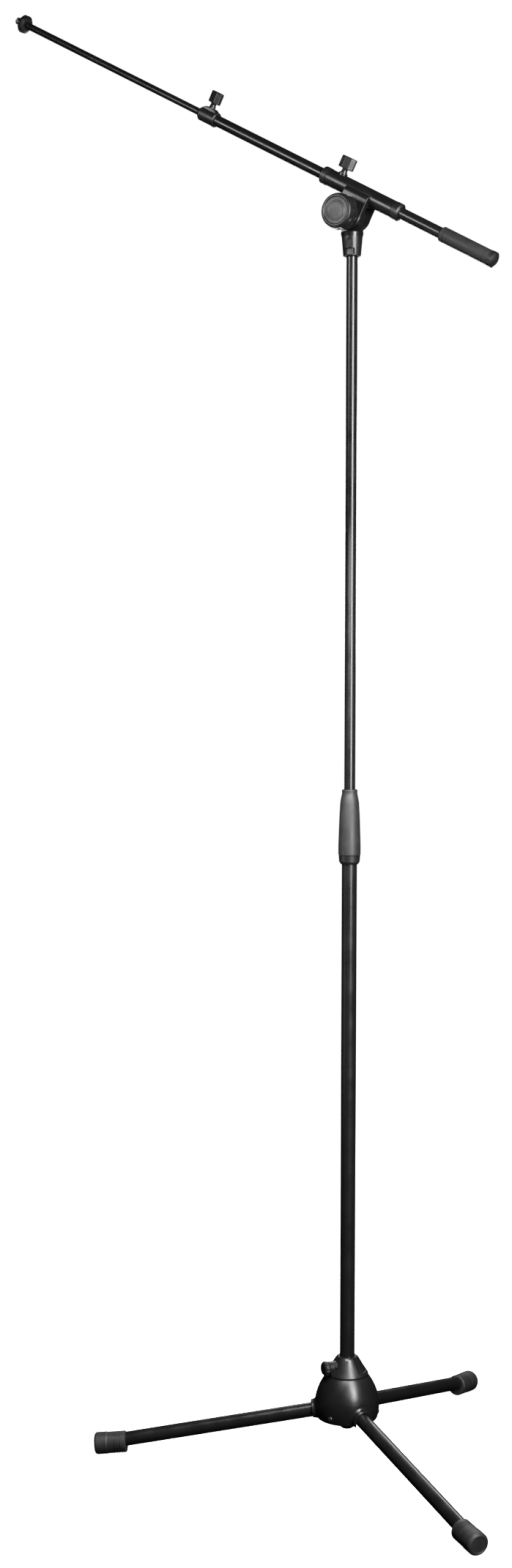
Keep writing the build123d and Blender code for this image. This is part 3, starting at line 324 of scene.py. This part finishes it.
# ------------------------------------------------------------------ boom tubes, collar and grip
# The boom is two coated steel tubes. A moulded collar with a thumbscrew clamps the inner one, and a rubber
# hand grip with a domed cap covers the rear end.
coat(tube_coat, "outer_boom_tube", "inner_boom_tube")
coat(moulded_black, "telescope_collar", "telescope_screw_head", "rear_grip_cap", "inner_boom_guide")
coat(moulded_black, "microphone_lock_ring")
coat(soft_rubber, "rear_grip")

# ------------------------------------------------------------------ microphone thread
# The nose is a turned steel stud with the coarse thread that microphone clips screw on to, sixteen turns to
# the inch, cut to three quarters of its depth.
nose_axis = np.array(joints["lock_ring_turn"]["axis"])
nose_origin = np.array(joints["lock_ring_turn"]["pos_m"])


def reach(name, origin, axis):
    """How far a CAD node's points reach along an axis, and how far out from it."""
    points = np.empty(3 * len(nodes[name].data.vertices))
    nodes[name].data.vertices.foreach_get("co", points)
    offset = points.reshape(-1, 3) - origin
    along = offset @ axis
    away = np.linalg.norm(offset - along[:, None] * axis, axis=1)
    return along.max(), away.max()


nose_end, nose_radius = reach("microphone_thread", nose_origin, nose_axis)
thread_pitch = 0.0254 / 16
thread_depth = 0.0008
steps_round = 48
turn_angle = np.linspace(0, 2 * np.pi, steps_round, endpoint=False)[None, :]
thread_length = 0.0142
thread_start = nose_end - thread_length
nose_along = np.linspace(thread_start, nose_end, 180)[:, None]
wave = np.abs(((nose_along / thread_pitch - turn_angle / (2 * np.pi)) % 1.0) * 2 - 1)
fade_out = np.clip((nose_end - nose_along) / 0.0012, 0, 1)
fade = fade_out * np.clip((nose_along - thread_start) / 0.001, 0, 1)
crest = nose_radius - thread_depth * (1 - np.clip(1.5 * wave - 0.25, 0, 1)) * fade
tip_chamfer = 0.0009
crest = crest - tip_chamfer * (1 - np.clip((nose_end - nose_along) / tip_chamfer, 0, 1))
nose_side = np.cross(nose_axis, (0.0, 1.0, 0.0))
nose_side /= np.linalg.norm(nose_side)
nose_up = np.cross(nose_axis, nose_side)
round_about = np.cos(turn_angle)[..., None] * nose_side + np.sin(turn_angle)[..., None] * nose_up
thread_grid = nose_origin + nose_along[..., None] * nose_axis + crest[..., None] * round_about
tip_cap = np.broadcast_to(nose_origin + nose_end * nose_axis, thread_grid[-1:].shape)
root_cap = np.broadcast_to(nose_origin + thread_start * nose_axis, thread_grid[:1].shape)
nose_thread = skin("microphone_nose", np.concatenate([root_cap, thread_grid, tip_cap]), True, zinc_plate)
settle(nose_thread, "inner_boom", "steel_bright", "microphone_thread")

# ------------------------------------------------------------------ floor, surround and lights
# A white studio floor that runs out into a white surround. Only the camera sees those two, so the black
# finishes pick up just the five soft boxes round the stand.
floor_mesh = bpy.data.meshes.new("floor")
floor_half = 40.0
floor_mesh.from_pydata(
    [(-floor_half, -floor_half, 0), (floor_half, -floor_half, 0), (floor_half, floor_half, 0),
     (-floor_half, floor_half, 0)],
    [],
    [(0, 1, 2, 3)],
)
floor = bpy.data.objects.new("floor", floor_mesh)
bpy.context.scene.collection.objects.link(floor)
floor_paint = finish("floor_paint", (0.9, 0.9, 0.9), 0.9, 0.01, 0.00001, 0.01)
floor_shader = floor_paint.node_tree.nodes["Principled BSDF"]
floor_shader.inputs["Emission Color"].default_value = (1, 1, 1, 1)
floor_shader.inputs["Emission Strength"].default_value = 1.0
floor_mesh.materials.append(floor_paint)
floor.visible_diffuse = False
floor.visible_glossy = False

world = bpy.data.worlds.new("surround")
world.use_nodes = True
world.node_tree.nodes["Background"].inputs["Color"].default_value = (1, 1, 1, 1)
world.node_tree.nodes["Background"].inputs["Strength"].default_value = 1.0
world.cycles_visibility.diffuse = False
world.cycles_visibility.glossy = False
bpy.context.scene.world = world
bpy.context.scene.view_settings.view_transform = "Standard"

for name, at, toward, width, height, power, spread in (
    ("left_softbox", (-0.85, -1.5, 2.02), (0, 0, 1.65), 0.8, 0.5, 2.2, 65),
    ("low_left_softbox", (-1.1, -1.1, 0.3), (0, 0, 1.6), 0.6, 0.4, 0.8, 60),
    ("right_softbox", (1.2, -0.75, 1.35), (0, 0, 0.5), 0.5, 1.7, 70, 180),
    ("low_overhead_softbox", (0.1, -0.42, 1.2), (0, 0, 0.1), 0.4, 0.4, 9, 140),
    ("back_softbox", (-0.65, 1.5, 1.3), (0, 0, 0.1), 1.4, 0.6, 14, 180),
):
    light_data = bpy.data.lights.new(name, "AREA")
    light_data.shape = "RECTANGLE"
    light_data.size = width
    light_data.size_y = height
    light_data.energy = power
    light_data.spread = np.radians(spread)
    light = bpy.data.objects.new(name, light_data)
    bpy.context.scene.collection.objects.link(light)
    light.location = at
    light.rotation_euler = (Vector(toward) - Vector(at)).to_track_quat("-Z", "Y").to_euler()
    light.visible_camera = False
